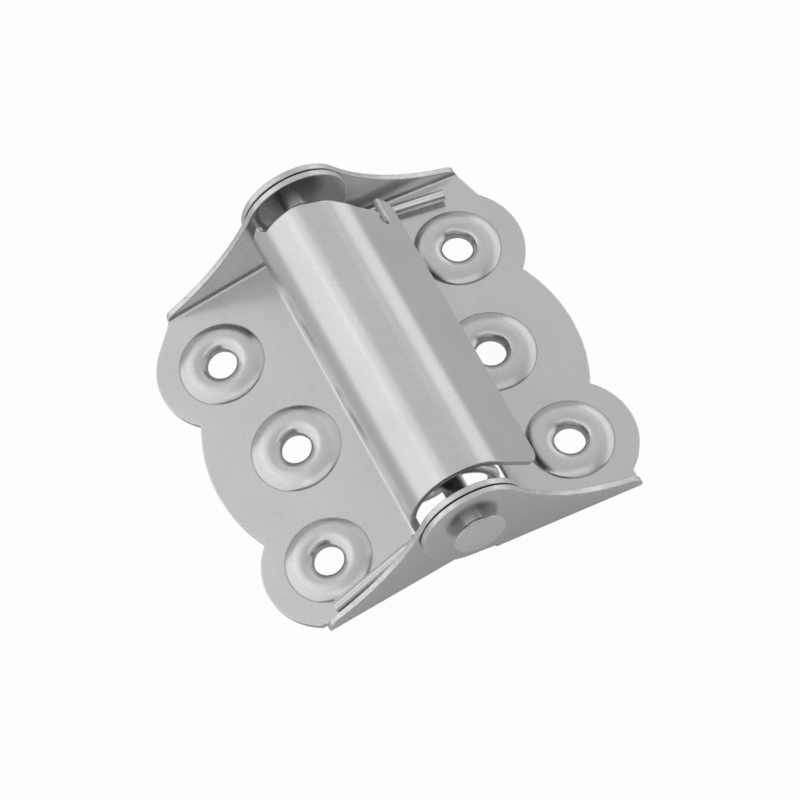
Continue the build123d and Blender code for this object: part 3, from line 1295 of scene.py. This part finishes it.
@dataclass
class TorsionSpring:
    """The torsion spring: a close coil round the pin, with a leg along each plate."""

    cover: Leaf
    plain: Leaf
    wire_radius: float = 1.0
    coil_radius: float = 6.5
    near_y: float = -27.6
    far_y: float = 28.5
    turn_gap: float = 0.1
    level_turns: float = 0.25
    open_turns: float = 1.25
    open_length: float = 7.4
    far_rise: float = 1.5
    leg_slope: float = 19.0
    bend_radius: float = 4.0
    longest_cut: float = 0.95
    clearance: float = 0.1
    near_leg_x: float = 26.5
    near_leg_y: float = -30.3
    far_leg_x: float = 26.0
    far_leg_y: float = 29.5
    sides: int = 14
    coil_step: float = 9.0
    end_round: float = 0.15
    bend_parts: int = 10
    leg_parts: int = 6
    blend_start: float = 0.5
    blend_end: float = 1.6

    @property
    def turns(self) -> float:
        """Counts the turns that fit between the ends.

        Returns:
            The turns, with the open one at the near end.
        """
        close = self.far_y - self.near_y - self.open_length
        whole = (self.open_turns + close / (2 * self.wire_radius + self.turn_gap)) // 1
        return whole - 2 * self.leg_slope / 360

    def along(self, turn: float) -> float:
        """Finds where the wire is after some turns from the near end.

        Args:
            turn: How many turns.

        Returns:
            The place along the pin.
        """
        open_y = self.near_y + self.open_length
        if turn < self.open_turns:
            share = max(0.0, (turn - self.level_turns) / (self.open_turns - self.level_turns))
            return self.near_y + self.open_length * share**2 * (3 - 2 * share)
        rise = max(0.0, 1 - 2 * (self.turns - turn))
        close = (self.far_y - open_y) * (turn - self.open_turns) / (self.turns - self.open_turns)
        return open_y + close + self.far_rise * rise**2 * (3 - 2 * rise)

    def coil(self) -> list[Vector]:
        """Winds the coil.

        Returns:
            Points from the near end, winding left handed.
        """
        slope = radians(self.leg_slope)
        first = Vector((sin(slope), 0, -cos(slope)))
        second = Vector((cos(slope), 0, sin(slope)))
        count = ceil(self.turns * 360 / self.coil_step)
        found = []
        for k in range(count + 1):
            turn = 2 * pi * self.turns * k / count
            spoke = (first * cos(turn) + second * sin(turn)) * self.coil_radius
            found.append(spoke + Vector((0, self.along(self.turns * k / count), self.plain.pin_z)))
        return found

    def leg(
        self, leaf: Leaf, touch: Vector, direction: Vector, end_x: float, end_y: float
    ) -> list[Vector]:
        """A leg from where it leaves the coil.

        Args:
            leaf: The leaf that it lies along.
            touch: Where it leaves the coil.
            direction: The way in which it leaves.
            end_x: How far out it ends.
            end_y: Where it ends along the pin.

        Returns:
            Points from the coil to the end, with the knee rounded.
        """
        up = Vector((leaf.side.value * sin(leaf.droop), 0, cos(leaf.droop)))
        out = Vector((leaf.side.value * cos(leaf.droop), 0, -sin(leaf.droop)))
        pin = Vector((0, 0, leaf.pin_z))
        height = self.wire_radius + self.clearance - leaf.pin_height
        knee = touch + direction * ((height - (touch - pin).dot(up)) / direction.dot(up))
        end = pin + up * height + out * end_x + Vector((0, end_y, 0))
        back, ahead = (touch - knee).normalized(), (end - knee).normalized()
        half = back.angle(ahead) / 2
        cut = min(self.bend_radius / tan(half), self.longest_cut * (touch - knee).length)
        radius = cut * tan(half)
        centre = knee + (back + ahead).normalized() * hypot(cut, radius)
        spoke = knee + back * cut - centre
        axis = spoke.cross(knee + ahead * cut - centre).normalized()
        parts = self.bend_parts
        turns = [(pi - 2 * half) * k / parts for k in range(parts + 1)]
        bend = [Matrix.Rotation(turn, 3, axis) @ spoke + centre for turn in turns]
        run = end - bend[-1]
        return bend + [bend[-1] + run * k / self.leg_parts for k in range(1, self.leg_parts + 1)]

    def build(self, materials: list[bpy.types.Material]) -> bpy.types.Object:
        """Sweeps the wire along the legs and the coil.

        Args:
            materials: Its materials.

        Returns:
            The spring.
        """
        coil = self.coil()
        near_way = -self.way(coil[0], coil[1])
        far_way = self.way(coil[-2], coil[-1], at_end=True)
        near = self.leg(self.cover, coil[0], near_way, self.near_leg_x, self.near_leg_y)
        far = self.leg(self.plain, coil[-1], far_way, self.far_leg_x, self.far_leg_y)
        line = near[::-1] + coil + far
        return self.swept(line, materials)

    def way(self, start: Vector, end: Vector, at_end: bool = False) -> Vector:
        """Direction of the coil at one of its ends.

        Args:
            start: One point of the coil.
            end: The next point.
            at_end: Whether the direction at the second point is wanted.

        Returns:
            The unit direction.
        """
        lead = (end.y - start.y) / (radians(self.coil_step) * self.coil_radius)
        touch = end if at_end else start
        spoke = Vector((touch.x, 0, touch.z - self.plain.pin_z)).normalized()
        round_pin = Vector((0, 1, 0)).cross(spoke)
        if round_pin.dot(end - start) < 0:
            round_pin = -round_pin
        return (round_pin + Vector((0, lead, 0))).normalized()

    def swept(self, line: list[Vector], materials: list[bpy.types.Material]) -> bpy.types.Object:
        """Makes the wire round a line of points.

        Args:
            line: The points, from the end of the near leg to the end of the far one.
            materials: Its materials.

        Returns:
            The wire.
        """
        last = len(line) - 1
        ways = [(line[min(k + 1, last)] - line[max(k - 1, 0)]).normalized() for k in range(last + 1)]
        across = ways[0].orthogonal().normalized()
        places: list[Vector] = []
        edge = self.end_round
        sections = [(0, self.wire_radius - edge, 0.0), (0, self.wire_radius, edge)]
        sections += [(k, self.wire_radius, 0.0) for k in range(1, last)]
        sections += [(last, self.wire_radius, -edge), (last, self.wire_radius - edge, 0.0)]
        for k, radius, shift in sections:
            across = (across - ways[k] * across.dot(ways[k])).normalized()
            other = ways[k].cross(across)
            for n in range(self.sides):
                turn = 2 * pi * n / self.sides
                spoke = (across * cos(turn) + other * sin(turn)) * radius
                places.append(line[k] + ways[k] * shift + spoke)
        rings = np.arange(len(places)).reshape(-1, self.sides)
        faces = joined(rings) + [rings[0].tolist(), rings[-1][::-1].tolist()]
        wound = np.array([tuple(place) for place in places])
        return new_piece("torsion_spring_wound", wound, faces, materials)


@dataclass(frozen=True)
class Softbox:
    """A soft lamp, between two angles from straight up towards +X, leaning towards -Y, in degrees."""

    name: str
    low: float
    high: float
    radiance: float
    lean: float = 0.0
    length: float = 1.7
    ahead: float = 0.25


@dataclass
class Studio:
    """The floor, the soft lights and the camera."""

    floor_size: float = 6.0
    floor_grey: float = 0.70
    seen_share: float = 0.97
    mirrored_share: float = 0.1
    sky: float = 0.29
    sky_slope: float = 0.55
    lamp_distance: float = 0.9
    softboxes: tuple[Softbox, ...] = (
        Softbox("cover_side_wide", -116, -14, 0.30),
        Softbox("cover_side", -100, -32, 0.34),
        Softbox("plain_side_wide", 40, 112, 0.28),
        Softbox("plain_side", 56, 104, 0.34),
        Softbox("front", -25, 32, 0.32, 34, 0.7, 0.0),
        Softbox("overhead", -34, 39, 0.28, -14, 2.0, 0.0),
    )
    aim: tuple[float, float, float] = (0, 0, 0.012)
    film_width: float = 36.0
    lens: float = 196.03
    camera_clips: tuple[float, float] = (0.01, 20.0)
    camera_place: tuple[float, float, float] = (-0.075737, -0.330821, 0.633346)
    camera_right: tuple[float, float, float] = (0.89107, -0.43761, -0.12034)
    camera_up: tuple[float, float, float] = (0.44103, 0.77228, 0.45726)
    camera_back: tuple[float, float, float] = (-0.10716, -0.46052, 0.88115)

    def floor(self) -> bpy.types.Object:
        """Lays a pale floor that looks white where the object's shadow isn't on it.

        Returns:
            The floor.
        """
        half = self.floor_size / 2
        mesh = bpy.data.meshes.new("floor")
        corners = rectangle((-half, -half), (half, half))
        mesh.from_pydata([(x, y, 0.0) for x, y in corners.tolist()], [], [(0, 1, 2, 3)])
        material = bpy.data.materials.new("pale_floor")
        shader = Shader(material)
        rays = ("Is Camera Ray", "Is Glossy Ray", "Is Transmission Ray")
        seen, glossy, sent = (shader.node("ShaderNodeLightPath", output=ray) for ray in rays)
        share = seen * self.seen_share + (glossy + sent) * self.mirrored_share
        colour = (self.floor_grey, self.floor_grey, self.floor_grey, 1)
        pale = shader.node("ShaderNodeBsdfDiffuse", inputs={"Color": colour})
        white = shader.node("ShaderNodeEmission", inputs={"Color": (1, 1, 1, 1), "Strength": 1.0})
        shader.surface(shader.node("ShaderNodeMixShader", inputs={0: share, 1: pale, 2: white}))
        mesh.materials.append(material)
        made = placed("floor", mesh)
        return made

    def world(self) -> None:
        """Makes a pale surround, darker in front of the hinge than behind it."""
        world = bpy.data.worlds.new("surround")
        bpy.context.scene.world = world
        shader = Shader(world)
        direction = shader.node("ShaderNodeTexCoord", output="Generated")
        ahead = shader.node("ShaderNodeSeparateXYZ", inputs={0: direction}, output="Y")
        strength = (ahead * self.sky_slope + 1) * self.sky
        light = shader.node("ShaderNodeBackground", inputs={"Color": (1, 1, 1, 1), "Strength": strength})
        shader.surface(light, "ShaderNodeOutputWorld")

    def softbox(self, box: Softbox) -> bpy.types.Object:
        """Places a soft lamp.

        Args:
            box: The lamp to place.

        Returns:
            The lamp.
        """
        middle = radians((box.low + box.high) / 2)
        half = radians((box.high - box.low) / 2)
        data = bpy.data.lights.new(box.name, "AREA")
        data.shape = "RECTANGLE"
        data.size = 2 * self.lamp_distance * tan(half)
        data.size_y = box.length
        data.energy = box.radiance * pi * data.size * data.size_y
        lean = Matrix.Rotation(radians(box.lean), 3, "X")
        back = lean @ Vector((sin(middle), 0, cos(middle)))
        side = lean @ Vector((cos(middle), 0, -sin(middle)))
        ahead = lean @ Vector((0, 1, 0))
        place = Matrix.Translation(Vector(self.aim) + back * self.lamp_distance + ahead * box.ahead)
        lamp = placed(box.name, data)
        lamp.matrix_world = place @ Matrix((side, ahead, back)).transposed().to_4x4()
        lamp.visible_camera = False
        return lamp

    def camera(self) -> bpy.types.Object:
        """Places the camera, near, to the left and high above.

        Returns:
            The camera.
        """
        data = bpy.data.cameras.new("camera")
        data.sensor_width = self.film_width
        data.lens = self.lens
        data.clip_start, data.clip_end = self.camera_clips
        made = placed("camera", data)
        turned = Matrix((self.camera_right, self.camera_up, self.camera_back)).transposed().to_4x4()
        made.matrix_world = Matrix.Translation(self.camera_place) @ turned
        bpy.context.scene.camera = made
        return made

    def build(self) -> None:
        """Sets the scene round the object."""
        self.world()
        self.floor()
        for box in self.softboxes:
            self.softbox(box)
        self.camera()
        bpy.context.scene.view_settings.view_transform = "Standard"


def main() -> None:
    """Builds the hinge in order and reports each piece."""
    logging.basicConfig(level=logging.INFO, format="%(message)s")
    sheet_finishes = (Plating("zinc_plated_sheet"), ShearedEdge("sheared_sheet_edge"))
    sheet_materials = [finish.material() for finish in sheet_finishes]
    pin_finish = Plating("plated_pin_head", light=0.84, dark=0.76, roughness=0.24)
    pin_material = pin_finish.material()
    wire_material = DrawnWire("plated_spring_wire").material()

    plain = Leaf(
        Side.PLAIN,
        "plain_leaf_formed",
        ear_y=34.25,
        inner_x=11.2,
        foot_x=30.4,
        far_foot_x=30.1,
        bore_radius=2.07,
    )
    cover = CoverLeaf(
        Side.COVER,
        "cover_leaf_formed",
        ear_y=32.9,
        inner_x=9.95,
        foot_x=28.8,
        far_foot_x=28.6,
        bore_radius=2.0,
    )
    pin = HingePin(plain.pin_z)
    spring = TorsionSpring(cover, plain)

    plain_leaf = plain.build(sheet_materials)
    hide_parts("plain_leaf")
    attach(plain_leaf, "plain_side")

    cover_leaf = cover.build(sheet_materials)
    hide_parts("cover_leaf")
    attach(cover_leaf, "cover_side")

    hinge_pin = pin.build([pin_material])
    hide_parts("hinge_pin")
    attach(hinge_pin, "cover_side")

    torsion_spring = spring.build([wire_material])
    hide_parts("torsion_spring")
    plain.pin_z * MM
    plain.pin_z * MM
    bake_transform(torsion_spring)
    for piece in (plain_leaf, cover_leaf, hinge_pin, torsion_spring):
        log.info("%s: %d faces", piece.name, len(piece.data.polygons))

    Studio().build()


if __name__ == "__main__":
    main()
